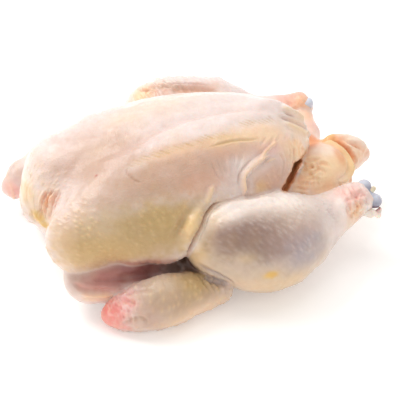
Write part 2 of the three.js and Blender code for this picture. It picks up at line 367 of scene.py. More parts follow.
distances = {name: sampled(lambda p, n=name: part_distances(p)[n], skin_points)
             for name in ("breast", "legs", "upper_wing", "wings", "rear")}
share = {}
for name in distances:
    others = np.min([distances[n] for n in distances if n != name], axis=0)
    share[name] = ramp(others - distances[name], BORDER_START, BORDER_END)
border = np.sort(np.stack(list(distances.values())), axis=0)
in_shaded_crease = np.exp(-((border[1] - border[0]) / CREASE_REACH) ** 2)
in_slit = np.exp(-(np.maximum(sampled(slit, skin_points), 0) / SLIT_REACH) ** 2)
in_belly_cut = np.exp(-(np.maximum(sampled(belly_cut, skin_points), 0) / CUT_REACH) ** 2)


# The skin's paint, as a maker would mix it. The fat under the skin shows as yellow, the
# meat as rose and mauve, and the skin itself is nearly white where it is thick. Some coats
# also paint shade and highlight, as noted where they are laid.
PALE = (250, 238, 230)
CREAM = (233, 218, 214)
PEACH = (244, 210, 178)
BUTTER = (240, 206, 152)
ROSE = (208, 177, 165)
DUSTY_ROSE = (190, 155, 133)
ROSE_TAN = (208, 160, 134)
MAUVE = (143, 113, 101)
BLUE_GREY = (172, 158, 162)
OLIVE_TAN = (191, 160, 107)
WARM_TAN = (204, 168, 110)
SAND = (210, 187, 161)
WING_TAN = (184, 151, 116)
APRICOT = (250, 200, 152)
ORANGE = (226, 136, 80)
FAT_YELLOW = (228, 182, 84)
PINK = (241, 186, 177)
WRIST_PINK = (250, 202, 200)
SALMON = (234, 172, 152)
RED_PINK = (246, 144, 134)
DEEP_ROSE = (180, 104, 94)
PLUM = (146, 88, 84)
PLUM_AND_HOLLOW_SHADE = (66, 22, 20)
SHADE_BROWN = (168, 104, 66)
CUT_TAN = (236, 180, 134)
APRICOT_PAINTED_LIGHT = (255, 224, 184)
DAB_SHARPNESS = 2.2


def linear(colour):
    """A colour in the renderer's linear light from one of 0 to 255 as a screen shows it."""
    c = np.array(colour) / 255
    return np.where(c <= 0.04045, c / 12.92, ((c + 0.055) / 1.055) ** 2.4)


def random_of(cell, seed):
    """A number from 0 to 1 for each row of whole numbers, the same on every run."""
    key = cell.astype(np.int64) @ np.array([73856093, 19349663, 83492791]) + seed * 2654435761
    key = (key ^ (key >> 13)) * 1274126177 & 0x7FFFFFFF
    key = (key ^ (key >> 15)) * 668265263 & 0x7FFFFFFF
    return ((key ^ (key >> 11)) & 0xFFFF) / 0xFFFF


def noise(place, scale, seed):
    """Smooth noise from -1 to 1 that changes over about this many millimetres."""
    at = place / scale
    cell = np.floor(at)
    t = at - cell
    t = t * t * (3 - 2 * t)
    total = 0
    for corner in np.ndindex(2, 2, 2):
        share_of_corner = np.prod(np.where(np.array(corner) == 1, t, 1 - t), axis=1)
        total = total + share_of_corner * random_of(cell + corner, seed)
    return total * 2 - 1


class Paint:
    """The colours of one mesh's points, laid on in coats that cover what is below."""

    def __init__(self, points, colour):
        self.points = points
        self.colours = np.tile(linear(colour), (len(points), 1))
        self.ragged = 0.35 * noise(points, 7, 40) + 0.2 * noise(points, 2.6, 41)

    def coat(self, cover, colour):
        cover = np.clip(cover, 0, 1)[:, None]
        self.colours = self.colours * (1 - cover) + linear(colour) * cover

    def dab(self, centre, radii, colour, strength, only=1):
        """A soft dab with a ragged edge."""
        apart = (((self.points - np.array(centre)) / np.array(radii)) ** 2).sum(1)
        apart = np.maximum(apart * (1 + self.ragged), 0)
        self.coat(strength / (1 + apart ** DAB_SHARPNESS) * only, colour)

    def dabs(self, several, only=1):
        for dab in several:
            self.dab(*dab, only)

    def put_on(self, mesh):
        rgba = np.column_stack([self.colours, np.ones(len(self.colours))]).astype(np.float32)
        layer = mesh.color_attributes.new("tint", "FLOAT_COLOR", "POINT")
        layer.data.foreach_set("color", rgba.ravel())


paint = Paint(skin_points, CREAM)
bird_x, bird_y, bird_z = skin_points.T

# The breast is cream on top, rose on its sides and tan below, where more fat lies under it.
# The tan on its near side is partly painted shade, and so is the deep rose under its lower edge.
# A dab is its centre, its radii, its colour and its strength.
BREAST_DABS = [
    ((-66, -8, 88), (30, 26, 14), ROSE, 0.85), ((-92, 6, 78), (16, 14, 14), ROSE, 0.6),
    ((-72, -8, 85), (24, 18, 10), DUSTY_ROSE, 0.75), ((-30, 20, 96), (30, 12, 8), PEACH, 0.4),
    ((-36, -36, 90), (26, 6, 6), DUSTY_ROSE, 0.7),
    ((-16, -38, 89), (44, 11, 12), DUSTY_ROSE, 0.85), ((-62, -40, 82), (30, 12, 12), DUSTY_ROSE, 0.8),
    ((-40, -46, 82), (16, 9, 10), DUSTY_ROSE, 0.6), ((-100, -40, 68), (14, 12, 14), ROSE, 0.7),
    ((-78, -60, 57), (38, 15, 15), WARM_TAN, 0.97), ((-54, -60, 62), (30, 15, 14), OLIVE_TAN, 0.97),
    ((-102, -48, 56), (15, 12, 15), WARM_TAN, 0.9), ((-84, -56, 47), (24, 12, 7), WARM_TAN, 0.75),
    ((-84, -50, 70), (26, 10, 8), SAND, 0.6),
    ((-110, -40, 50), (6, 12, 14), PEACH, 0.5), ((-64, -60, 38), (24, 12, 4), DEEP_ROSE, 0.7),
    ((-94, -56, 40), (12, 12, 7), DUSTY_ROSE, 0.5),
    ((13, -41, 84), (11, 8, 8), CREAM, 0.8), ((34, -42, 70), (20, 12, 11), ROSE, 0.8),
    ((38, -30, 82), (20, 7, 6), PINK, 0.6), ((58, -28, 70), (8, 7, 8), BUTTER, 0.8),
    ((30, -46, 68), (14, 8, 10), ROSE_TAN, 0.75), ((10, -34, 88), (22, 6, 6), ROSE_TAN, 0.6),
    ((22, -50, 66), (5, 5, 4), FAT_YELLOW, 0.4), ((50, -30, 72), (12, 8, 8), PEACH, 0.8),
    ((38, -24, 90), (26, 7, 8), PEACH, 0.9), ((-5, -28, 95), (36, 4, 8), BUTTER, 0.6),
    ((66, -14, 76), (12, 9, 12), PEACH, 0.7), ((70, 3, 79), (9, 7, 9), PEACH, 0.5),
    ((-54, -57, 69), (34, 8, 9), OLIVE_TAN, 0.85), ((-76, 8, 88), (24, 15, 10), DUSTY_ROSE, 0.3),
    ((-25, -28, 95), (26, 7, 6), ROSE_TAN, 0.45), ((-18, -49, 81), (16, 8, 8), ROSE_TAN, 0.7),
    ((60, -26, 70), (7, 6, 8), APRICOT, 0.7), ((20, -43, 78), (16, 5, 6), PALE, 0.35),
]
paint.dabs(BREAST_DABS, share["breast"])
NECK_DABS = [
    ((-107, -2, 58), (8, 7, 11), PEACH, 0.8), ((-106, -3, 60), (3, 3, 6), RED_PINK, 0.15),
    ((-112, 2, 46), (6, 8, 5), FAT_YELLOW, 0.7), ((-110, -5, 40), (7, 7, 6), FAT_YELLOW, 0.75),
    ((-116, 14, 58), (8, 12, 8), BUTTER, 0.6),
]
paint.dabs(NECK_DABS)

# The legs are mauve over the meat of the drumstick, bluish towards the hock and butter-coloured
# round the knee and below, with one spot of bright fat. Their top edge is painted near white,
# partly the skin's own paleness and partly a painted highlight where the light falls on it.
LEG_DABS = [
    ((0, -80, 36), (60, 30, 40), SAND, 0.9), ((-30, -69, 50), (9, 10, 15), BUTTER, 0.95),
    # Partly painted highlight: the pale dabs along the leg's top edge.
    ((20, -58, 68), (48, 9.5, 8), PALE, 1.0), ((20, -94, 18), (30, 12, 10), BUTTER, 0.6),
    ((-20, -62, 63), (9, 7, 8), BUTTER, 0.85),
    ((-8, -85, 20), (12, 12, 8), PEACH, 0.4), ((-14, -74, 53), (8, 9, 9), DUSTY_ROSE, 0.6),
    ((-1, -79, 57), (25, 13, 11), MAUVE, 0.98), ((18, -88, 49), (19, 10, 8), MAUVE, 0.85),
    ((36, -84, 50), (16, 12, 10), ROSE, 0.5), ((38, -88, 40), (20, 12, 10), BLUE_GREY, 0.9),
    ((64, -74, 40), (12, 12, 12), CREAM, 0.7), ((10, -93, 32), (4.6, 4, 3), FAT_YELLOW, 0.95),
    ((-4, -86, 45), (7, 5, 3), BUTTER, 0.3), ((50, 62, 62), (40, 10, 12), CREAM, 0.6),
    ((28, 66, 71), (24, 6, 7), ROSE_TAN, 0.65), ((-12, 75, 67), (11, 8, 7), APRICOT, 0.95),
    ((12, 69, 72), (7, 5, 4), DUSTY_ROSE, 0.7), ((90, 52, 48), (16, 12, 10), SALMON, 0.85),
    ((96, 48, 44), (7, 8, 8), APRICOT, 0.6), ((74, 58, 50), (8, 9, 8), CREAM, 0.6),
    ((-6, -64, 67), (11, 8, 5), PALE, 0.7), ((36, -62, 62), (24, 8, 6), PALE, 0.7),
    ((0, 70, 69), (9, 7, 6), ROSE_TAN, 0.6),
]
paint.dabs(LEG_DABS, share["legs"])
HOCK_DABS = [
    ((76, -60, 48), (7, 9, 6), PINK, 0.8), ((84, -60, 47), (8, 9, 7), PINK, 0.9),
    ((83, -66, 40), (7, 5, 6), APRICOT, 0.9), ((91, -63, 38), (4, 6, 7), PALE, 0.7),
    ((78, -67, 34), (6, 6, 6), PEACH, 0.6), ((72, -64, 46), (4, 8, 9), PALE, 0.8),
]
paint.dabs(HOCK_DABS)

# The wings are tan with a pink wrist and a redder cut end. The upper wing is deep rose and
# turns plum, then near black, in the hollow between breast and leg: partly the meat's own colour
# and partly painted shade where the hollow lies in shadow.
WING_DABS = [
    ((-50, -80, 20), (34, 18, 18), WING_TAN, 0.95), ((-38, -78, 28), (17, 9, 8), OLIVE_TAN, 0.85),
    ((-60, -77, 33), (10, 7, 5), SAND, 0.6), ((-40, -88, 9), (26, 9, 7), PEACH, 0.8),
    ((-82, -73, 23), (11, 9, 9), WRIST_PINK, 0.97), ((-92, -69, 12), (9, 10, 9), RED_PINK, 0.97),
    ((-72, -87, 15), (9, 6, 7), ROSE, 0.6), ((-88, -76, 8), (7, 7, 4), RED_PINK, 0.5),
    ((-104, 72, 30), (14, 10, 9), DUSTY_ROSE, 0.5), ((-110, 64, 22), (6, 8, 6), PINK, 0.9),
    ((-89, -73, 15), (7, 7, 7), RED_PINK, 0.85), ((-70, -88, 14), (9, 5, 6), DUSTY_ROSE, 0.4),
]
paint.dabs(WING_DABS, share["wings"])
UPPER_WING_DABS = [
    ((-100, -54, 32), (16, 12, 10), DUSTY_ROSE, 0.7), ((-84, -58, 33), (18, 8, 8), DEEP_ROSE, 0.85),
    ((-64, -58, 32), (19, 10, 11), PLUM, 0.97), ((-32, -58, 28), (14, 14, 12), PLUM_AND_HOLLOW_SHADE, 0.97),
    ((-96, -60, 20), (14, 6, 4), APRICOT, 0.5),
]
paint.dabs(UPPER_WING_DABS, share["upper_wing"])
# Painted shade: the far end of the hollow is painted near black.
paint.dab((-30, -60, 29), (13, 9, 6), PLUM_AND_HOLLOW_SHADE, 0.97)

# The skin round the vent and on the tail is full of fat, so it is apricot, with orange in
# its clefts. The cut edges of the belly and the inside of the slit are tan. Where the near leg
# shades the vent, it is painted a lighter apricot as painted light, and a pale dab on the vent's
# top is partly a painted highlight.
REAR_DABS = [
    ((84, -14, 46), (34, 34, 22), APRICOT, 0.97), ((58, -33, 47), (9, 14, 7), BUTTER, 0.3),
    # Partly painted highlight: the pale dab on the vent's top.
    ((82, -15, 55), (13, 8, 7), PALE, 0.85), ((68, -28, 50), (8, 8, 7), PEACH, 0.8),
    ((102, 3, 47), (9, 7, 4), PEACH, 0.6), ((110, -2, 45), (8, 7, 4), PEACH, 0.9),
    ((121, -4, 35), (6, 7, 7), ORANGE, 0.3), ((101, -5, 48), (4, 9, 4), ORANGE, 0.85),
    ((111, -5, 43), (5, 8, 5), PALE, 0.6), ((64, -30, 47), (8, 7, 7), PEACH, 0.7),
    # Painted shade: brown where the vent meets the near leg's hock.
    ((72, -44, 47), (12, 6, 4), SHADE_BROWN, 0.75), ((90, -36, 40), (6, 8, 8), PALE, 0.6),
    ((98, -20, 44), (6, 14, 6), BUTTER, 0.7),
    ((97, 5, 48), (5, 4, 4), ORANGE, 0.7), ((88, 11, 45), (6, 9, 8), ORANGE, 0.8),
    ((98, 34, 40), (12, 12, 10), PINK, 0.6), ((96, 40, 42), (8, 8, 8), APRICOT, 0.6),
    # Painted light: lighter apricot where the near leg shades the vent.
    ((74, -26, 49), (16, 11, 9), APRICOT_PAINTED_LIGHT, 0.95), ((93, -19, 50), (4, 7, 5), ORANGE, 0.6),
    ((98, 8, 48), (7, 6, 5), FAT_YELLOW, 0.5), ((104, 3, 48), (5, 4, 3), ORANGE, 0.4),
    ((60, -29, 53), (6, 7, 6), CUT_TAN, 0.95),
    ((114, -7, 40), (9, 6, 7), APRICOT, 0.45),
]
paint.dabs(REAR_DABS, share["rear"])
paint.dab((80, 2, 54), (8, 12, 9), ORANGE, 0.75, share["rear"])
paint.coat(in_slit, CUT_TAN)
paint.coat(in_belly_cut * 0.7, CUT_TAN)


# Folds and creases: skin bunches between breast and leg, over the knee, at the wrist and
# round the vent. Each is a line laid over the skin, which stands proud of it or sinks in.
def smooth_line(stations, step=1.2):
    """A smooth curve through a few places, as points about a step apart."""
    places = np.array(stations, float)
    places = np.vstack([2 * places[0] - places[1], places, 2 * places[-1] - places[-2]])
    runs = []
    for a, b, c, d in zip(places, places[1:], places[2:], places[3:]):
        count = max(2, int(np.linalg.norm(c - b) / step))
        t = np.linspace(0, 1, count, endpoint=False)[:, None]
        bend = 2 * b + (c - a) * t + (2 * a - 5 * b + 4 * c - d) * t ** 2
        runs.append((bend + (3 * b - a - 3 * c + d) * t ** 3) / 2)
    return np.vstack(runs + [places[-2:-1]])


LINE_REACH, LINE_DEPTH = 9, 7
FOLD_GAIN, CREASE_GAIN = 1.25, 1.4


def beside(stations, reach=LINE_REACH):
    """The points near a line, with their distance across the skin from it, positive on its
    left, how far along it they lie, and its length, all in millimetres."""
    line = smooth_line(stations)
    inside = (skin_points > line.min(0) - reach) & (skin_points < line.max(0) + reach)
    near = np.flatnonzero(inside.all(1))
    at, normal = skin_points[near], skin_normals[near]
    best = np.full(len(near), 1e9)
    across, along, depth = np.zeros((3, len(near)))
    run = 0
    for a, b in zip(line, line[1:]):
        length = np.linalg.norm(b - a)
        direction = (b - a) / length
        t = np.clip((at - a) @ direction, 0, length)
        offset = at - a - t[:, None] * direction
        deep = (offset * normal).sum(1)
        flat = offset - deep[:, None] * normal
        apart = np.linalg.norm(flat, axis=1)
        far = apart ** 2 + 0.3 * deep ** 2
        closer = far < best
        side = np.sign((np.cross(normal, direction) * flat).sum(1))
        best = np.where(closer, far, best)
        across = np.where(closer, side * apart, across)
        along = np.where(closer, run + t, along)
        depth = np.where(closer, deep, depth)
        run += length
    kept = (np.abs(across) < reach) & (np.abs(depth) < LINE_DEPTH)
    return near[kept], across[kept], along[kept], run


def taper(along, length, ends=6):
    """1 along a line, easing to 0 at both its ends."""
    ends = min(ends, length / 2.2)
    return ramp(along, 0, ends) * ramp(length - along, 0, ends)


def worn(stations, width, ends):
    """The points near a line, how far across it they lie in its widths, and how strong it is
    there. It wavers, narrows towards its ends and is stronger in some places."""
    near, across, along, length = beside(stations, max(LINE_REACH, width * 3))
    ease = taper(along, length, ends)
    waver = 0.4 * noise(skin_points[near], 8, 90)
    x = (across + waver) / (width * (0.55 + 0.45 * ease))
    return near, x, ease * (1 + 0.4 * noise(skin_points[near], 9, 91))


def coat_near(near, amount, colour):
    """A coat of paint on some of the skin's points only."""
    cover = np.zeros(len(raised))
    cover[near] = amount
    paint.coat(cover, colour)


def fold(width, height, stations, drop=0, colour=None, strength=0.5, ends=6):
    """A rounded fold. Where it has a drop, the skin on its right lies lower. Its colour is laid along the
    crest, partly the fold's own colour and partly a painted highlight.
    """
    near, x, ease = worn(stations, width, ends)
    crest = np.exp(-x * x) - 0.3 * np.exp(-((np.abs(x) - 1.9) / 0.6) ** 2)
    lower = np.where(x < 0, ramp(-x, 0.2, 1.4) * np.exp(-np.maximum(-x - 1.4, 0) / 2.2), 0)
    raised[near] += (height * crest - drop * lower) * ease * FOLD_GAIN
    if colour:
        coat_near(near, np.exp(-x * x) * ease * strength, colour)


def crease(width, depth, stations, colour=None, strength=0.5, ends=6):
    """A furrow with slightly raised lips. Its colour is laid in the furrow, partly the skin's own colour
    there and partly painted shade.
    """
    near, x, ease = worn(stations, width, ends)
    lips = 0.3 * np.exp(-((np.abs(x) - 1.8) / 0.7) ** 2)
    raised[near] -= CREASE_GAIN * depth * (np.exp(-x * x) - lips) * ease
    if colour:
        coat_near(near, np.exp(-x * x) * ease * strength, colour)


def family(count, first, last, seed):
    """Lines spread evenly from the first to the last, a little out of their places."""
    first, last = np.array(first, float), np.array(last, float)
    for i in range(count):
        t = (i + 0.5 * (random_of(np.array([[i, 0, 0]]), seed)[0] - 0.5)) / (count - 1)
        line = first + (last - first) * t
        bow = 2.4 * (random_of(np.array([[i, 1, 0]]), seed)[0] - 0.5)
        across = (last - first)[1:-1]
        line[1:-1] += bow * across / np.linalg.norm(across, axis=1)[:, None]
        yield line


# The arch of skin between breast and knee, which splits into short wrinkles at its end, and
# the roll that the leg pushes up in front. Fine wrinkles fan out from where they meet. The
# leg's edge is the line where it lies against the body, and its rim rises just beside that.
ARCH = [(7, -55, 64), (9, -53, 69), (9.5, -50.5, 74), (11, -48, 77), (15, -45.5, 79),
        (21, -42, 80.5), (28, -39, 81), (35, -36, 80)]
fold(1.9, 1.3, ARCH, drop=1.7, colour=PEACH, strength=0.85, ends=9)
fold(0.9, 0.9, [(25, -39, 82), (32, -35, 82.5), (38, -31, 83), (44, -28, 82.5)], colour=BUTTER)
fold(0.8, 0.7, [(28, -42, 78), (34, -39.5, 78), (40, -37.5, 76.5)], colour=BUTTER)
crease(0.9, 0.7, [(5, -53, 72), (6, -50, 76), (9, -46.5, 80), (15, -42.5, 82.5), (22, -38.5, 83.5)],
       colour=ROSE_TAN, strength=0.4, ends=9)
fold(1.6, 1.0, [(-10, -50, 79), (-14, -53, 77), (-18, -56, 73), (-22, -59, 70)],
     colour=BUTTER, strength=0.6)
# The roll's crest is painted butter, partly its own colour and partly a painted highlight.
fold(3.4, 1.5, [(-18, -56, 73), (-24, -59, 70), (-30, -63, 67), (-35, -66, 60), (-39, -68, 53),
                (-43, -66, 45)], colour=BUTTER, strength=0.8, ends=20)
LEG_EDGE = [(-36, -67, 40), (-36, -69, 47), (-33, -68, 53), (-29, -67, 58), (-24, -64, 64),
            (-20, -60, 66), (-14, -58, 69), (-8, -57, 69), (-1, -56, 68), (8, -54, 67),
            (17, -53, 64), (26, -51, 62), (36, -46, 58)]
LEG_RIM = [(-34, -69, 42), (-31, -69, 50), (-27, -67, 56), (-22, -66, 60), (-18, -63, 65),
           (-11, -62, 67), (-3, -59, 67), (6, -59, 66), (18, -60, 65), (32, -59, 63)]
# Painted shade: the groove along the leg's edge is painted brown.
crease(0.9, 2.2, LEG_EDGE[:8], colour=SHADE_BROWN, strength=0.8, ends=9)
crease(0.8, 0.5, LEG_EDGE[6:], colour=ROSE_TAN, strength=0.3)
# Painted highlight: the leg's rim is painted pale, partly its own paleness.
fold(2.6, 1.0, LEG_RIM, colour=PALE, strength=0.5, ends=10)
crease(2.4, 1.0, [(-20, -52, 78), (-27, -56, 72), (-34, -60, 66), (-42, -62, 59), (-46, -62, 52)],
       colour=OLIVE_TAN, strength=0.35, ends=12)
for line in family(8, [(-9, -38, 90), (-8, -45, 84), (-5, -51, 78)],
                   [(16, -35, 88), (13, -40, 85), (6, -48, 80)], 50):
    crease(0.8, 0.45, line)
for line in family(5, [(27, -34, 85), (31, -31, 87), (36, -27, 88)],
                   [(52, -28, 79), (57, -24, 81), (60, -20, 82)], 51):
    crease(0.9, 0.35, line)

# The valley between the two sides of the breast, and the puckers at the breast's tip.
crease(3.6, 0.8, [(-78, -4, 86), (-59, -10, 93), (-41, -8, 96), (-21, -3, 97), (0, -1, 96),
                  (17, -1, 96), (40, -6, 95), (52, -10, 89)], colour=ROSE, strength=0.35, ends=20)
# Painted shade: this short crease is darkened brown.
crease(0.7, 0.35, [(-60, -26, 89), (-62, -29, 88), (-61, -32, 87), (-59, -36, 86), (-55, -39, 85)],
       colour=SHADE_BROWN, strength=0.3, ends=3)
for line in family(5, [(41, -33, 80), (44, -37, 73), (41, -41, 67), (33, -46, 63)],
                   [(54, -27, 77), (52, -33, 71), (48, -38, 65), (41, -43, 60)], 57):
    crease(0.9, 0.5, line, colour=ROSE_TAN, strength=0.3)
crease(1.3, 1.2, [(50, -11, 90), (58, -12, 86), (66, -11, 79), (73, -9, 71), (76, -8, 65)], colour=ROSE)
crease(1.0, 0.8, [(55, -7, 90), (61, -8, 86), (67, -7, 81)], colour=ROSE)
fold(2.0, 1.0, [(52, -15, 87), (60, -15.5, 81), (67, -14, 75), (73, -11, 68)], colour=BUTTER)
fold(2.4, 1.6, [(54, -5, 91), (62, -4, 86), (69, -3, 80), (75, -4, 73)], colour=BUTTER)
crease(1.2, 0.9, [(62, 2, 87), (70, 3, 80), (76, 2, 73)])
fold(1.6, 1.2, [(70, -12, 73), (74, -9, 68), (77, -6, 62)], colour=PALE)

# The neck's end: loose skin gathered over yellow fat between the two sides of the breast.
for line in family(6, [(-103, 4, 65), (-107, 3, 60), (-110, 2, 54), (-111, 1, 47)],
                   [(-98, -4, 69), (-103, -6, 62), (-107, -9, 54), (-108, -10, 46)], 56):
    crease(0.8, 1.0, line, colour=SALMON, strength=0.35)
fold(1.4, 1.2, [(-102, -2, 66), (-106, -2, 60), (-109, -3, 54), (-110, -4, 47)], colour=APRICOT)
crease(1.0, 0.9, [(-98, -6, 69), (-103, -8, 61), (-107, -11, 52)], colour=RED_PINK, strength=0.25)
fold(3.0, 1.6, [(-113, 6, 50), (-112, 1, 46), (-111, -3, 42), (-109, -6, 37)], colour=FAT_YELLOW,
     strength=0.6)

# The knee's fold, and the small folds of the far leg's thigh.
# The knee's fold is painted blue-grey, partly the thin skin's own tone and partly painted shade.
crease(2.2, 1.2, [(-33, -71, 39), (-29, -75, 36), (-24, -78, 32), (-18, -81, 26), (-11, -83, 19)],
       colour=BLUE_GREY, strength=0.8, ends=9)
for line in family(4, [(-8, 83, 63), (-7, 78, 69), (-1, 72, 72)],
                   [(4, 80, 65), (8, 73, 71), (14, 66, 71)], 52):
    crease(1.1, 1.2, line, colour=DUSTY_ROSE, strength=0.7)
crease(2.6, 1.2, [(4, 68, 71), (14, 66, 71), (25, 64, 70), (34, 61, 68), (44, 58, 65)], colour=ROSE_TAN,
       strength=0.9, ends=12)
crease(1.0, 0.8, [(8, 74, 72), (17, 72, 72), (27, 70, 70), (36, 67, 68)], colour=DEEP_ROSE, strength=0.4)

# The wing's wrist, with a pad of skin round its cut end, and the thin skin before the elbow.
crease(1.2, 0.7, [(-86, -77, 9), (-83, -82, 14), (-78, -85, 18), (-73, -86, 17), (-72, -87, 11)],
       colour=DUSTY_ROSE, strength=0.4)
fold(2.4, 1.0, [(-80, -72, 26), (-74, -77, 27), (-67, -80, 28), (-60, -81, 30)], colour=SAND, strength=0.4)
crease(1.6, 0.8, [(-84, -70, 24), (-78, -76, 24), (-71, -80, 24)], colour=RED_PINK, strength=0.2)
crease(1.6, 0.8, [(-108, -50, 30), (-98, -57, 27), (-88, -60, 25), (-78, -62, 23)], colour=RED_PINK,
       strength=0.25)
fold(1.8, 1.4, [(-104, -53, 25), (-94, -59, 23), (-84, -62, 22)], colour=APRICOT)
for line in family(4, [(-34, -70, 27), (-31, -77, 27), (-28, -82, 22)],
                   [(-18, -72, 25), (-17, -78, 22), (-17, -83, 14)], 53):
    crease(1.1, 0.7, line)

# The rear: the wrinkled left side of the vent, its thick right rim, and the tail's clefts.
for line in family(5, [(51, -36, 46), (57, -38, 46), (64, -40, 44)],
                   [(67, -16, 53), (72, -19, 54), (79, -21, 54)], 54):
    crease(1.4, 1.2, line, colour=ORANGE, strength=0.15)
for line in family(3, [(60, -34, 46), (68, -31, 48), (74, -34, 46)],
                   [(72, -22, 52), (79, -24, 52), (84, -28, 49)], 55):
    crease(1.2, 0.7, line, colour=ORANGE, strength=0.2)
fold(2.1, 2.2, [(88, -1, 51), (93, -4, 50), (97, -8, 49), (100, -12, 47), (101.5, -17, 44),
                (100, -23, 42), (97, -29, 40), (92, -36, 40), (86, -44, 43)],
     colour=BUTTER, strength=0.85)
crease(1.9, 2.4, [(95, 1, 50), (100, -3, 48), (104, -7, 45), (105.5, -12, 40), (103, -18, 36),
                  (100, -25, 34), (96, -31, 33)], colour=ORANGE, strength=0.9)
fold(2.2, 1.6, [(99, 8, 45), (104, 4, 46), (110, 1, 45), (116, -2, 41), (121, -4, 35)], colour=PALE)
crease(1.2, 1.2, [(104, -1, 47), (110, -4, 44), (116, -6, 39)], colour=ORANGE)
crease(1.2, 1.0, [(108, -9, 42), (109, -12, 37), (106, -15, 33)], colour=ORANGE)
fold(4.5, 2.2, [(94, 9, 45), (98, 6, 47), (102, 3, 47)], colour=APRICOT)

# The feather tract: a line of small slanted marks along each side of the breast.
TRACT_SPACING, TRACT_SLANT = 3.3, 1.1
MARK_WIDTH, MARK_LENGTH, MARK_DEPTH = 0.22, 2.4, 0.5
TRACTS = [
    [(-66, -26, 88), (-45, -26, 93), (-21, -26, 96), (-7, -25, 96), (7, -25, 95), (15, -23, 95)],
    [(12, -19, 96), (23, -18, 95), (38, -15, 92), (52, -13, 87)],
    [(-30, 33, 92), (-5, 33, 94), (20, 31, 92), (45, 26, 86)],
]
for run_number, line in enumerate(TRACTS):
    near, across, along, length = beside(line)
    column = (along + TRACT_SLANT * across) / TRACT_SPACING
    number = np.floor(column)
    cells = np.stack([number, np.full(len(number), run_number), np.zeros(len(number))], 1)
    sideways = across - 1.6 * (random_of(cells, 61) - 0.5)
    mark = np.exp(-((column - number - 0.5) / MARK_WIDTH) ** 2)
    mark = mark * np.exp(-(sideways / MARK_LENGTH) ** 4)
    mark = mark * taper(along, length, 14) * (0.3 + 0.7 * random_of(cells, 62))
    raised[near] -= MARK_DEPTH * mark
    coat_near(near, 0.8 * mark, WARM_TAN)
crease(0.9, 0.5, [(-9, -31, 94), (-2, -31, 94), (5, -30, 93), (15, -29, 92), (24, -29, 90),
                  (32, -28, 88)], colour=WARM_TAN, strength=0.5, ends=14)


# The plucked skin: a pimple stands where each feather grew, in slanting rows, and all of it
# is a little lumpy with the fat below. Loose skin at the cut ends is crinkled. Pimples show
# most on the lower breast, on the meat of the near leg and on the near wing.
BREAST_SPACING, LEG_SPACING, WING_SPACING = 4.3, 4.2, 4.2
BREAST_BUMP, LEG_BUMP, WING_BUMP = 0.95, 1.5, 0.9
PIMPLE_ROWS, PIMPLE_SHIFT, PIMPLE_RADIUS = 0.85, 0.8, 0.24
BREAST_AXIS_HEIGHT, BREAST_RADIUS = 40, 60
PUCKER_HEIGHT = 1.1
LUMPS = [(0.5, 22, 1), (0.35, 9, 2), (0.15, 4, 3)]


def pimples(along, across, spacing, stretch, seed):
    """Small domes on a staggered grid of rows, each a little out of its place. Rows, shifts
    and radii are shares of the spacing."""
    row_height = spacing * PIMPLE_ROWS
    row = np.floor(across / row_height)
    best = np.zeros(len(along))
    for dr in (-1, 0, 1):
        this_row = row + dr
        stagger = (this_row % 2) * 0.5
        column = np.floor(along / spacing - stagger)
        for dc in (-1, 0, 1):
            cell = np.stack([column + dc, this_row, np.zeros(len(row))], 1)
            x_shift = PIMPLE_SHIFT * (random_of(cell, seed) - 0.5)
            y_shift = PIMPLE_SHIFT * (random_of(cell, seed + 1) - 0.5)
            x = (column + dc + 0.5 + stagger + x_shift) * spacing
            y = (this_row + 0.5 + y_shift) * row_height
            size = 0.15 + 0.85 * random_of(cell, seed + 2)
            apart = (along - x) ** 2 + ((across - y) / stretch) ** 2
            best = np.maximum(best, size * np.exp(-apart / (spacing * PIMPLE_RADIUS) ** 2))
    return best


def along_limb(stations):
    """How far along a limb each point lies, and how far round it, in millimetres."""
    start, end = np.array(stations[0][:3], float), np.array(stations[-1][:3], float)
    axis = (end - start) / np.linalg.norm(end - start)
    sideways = np.cross(axis, (0, 0, 1))
    sideways /= np.linalg.norm(sideways)
    upwards = np.cross(sideways, axis)
    offset = skin_points - start
    angle = np.arctan2(offset @ sideways, offset @ upwards)
    return offset @ axis, angle * max(s[3] for s in stations)


patchy = 0.65 + 0.5 * noise(skin_points, 16, 5)
breast_round = np.arctan2(bird_y, bird_z - BREAST_AXIS_HEIGHT) * BREAST_RADIUS
breast_slant = bird_x + 0.45 * breast_round
breast_bumps = pimples(breast_slant, breast_round, BREAST_SPACING, 1.2, 10)
breast_bumps = breast_bumps * share["breast"] * patchy * (0.06 + 0.94 * ramp(-bird_z, -84, -66))
breast_bumps = breast_bumps * (1 + 0.3 * ramp(-bird_x, 76, 92))
leg_run, leg_round = along_limb(NEAR_LEG)
leg_bumps = pimples(leg_run - leg_round * 0.5, leg_round, LEG_SPACING, 1.9, 20)
leg_bumps = leg_bumps * share["legs"] * patchy
leg_bumps = leg_bumps * (0.35 + 0.65 * ramp(bird_z, 34, 46)) * ramp(-leg_run, -96, -80)
leg_bumps = leg_bumps * (0.4 + 0.6 * ramp(leg_run, 18, 36))
wing_run, wing_round = along_limb(NEAR_WING)
wing_bumps = pimples(wing_run + 0.3 * wing_round, wing_round, WING_SPACING, 1.1, 30)
wing_bumps = wing_bumps * share["wings"] * patchy
bumps = BREAST_BUMP * breast_bumps + LEG_BUMP * leg_bumps + WING_BUMP * wing_bumps
# The pimples are painted paler than the skin round them, partly their own colour and partly a painted
# highlight on their tops.
paint.coat(np.clip(breast_bumps * 0.42 + wing_bumps * 0.5, 0, 1), BUTTER)
paint.coat(np.clip(leg_bumps * 0.55, 0, 1), CREAM)

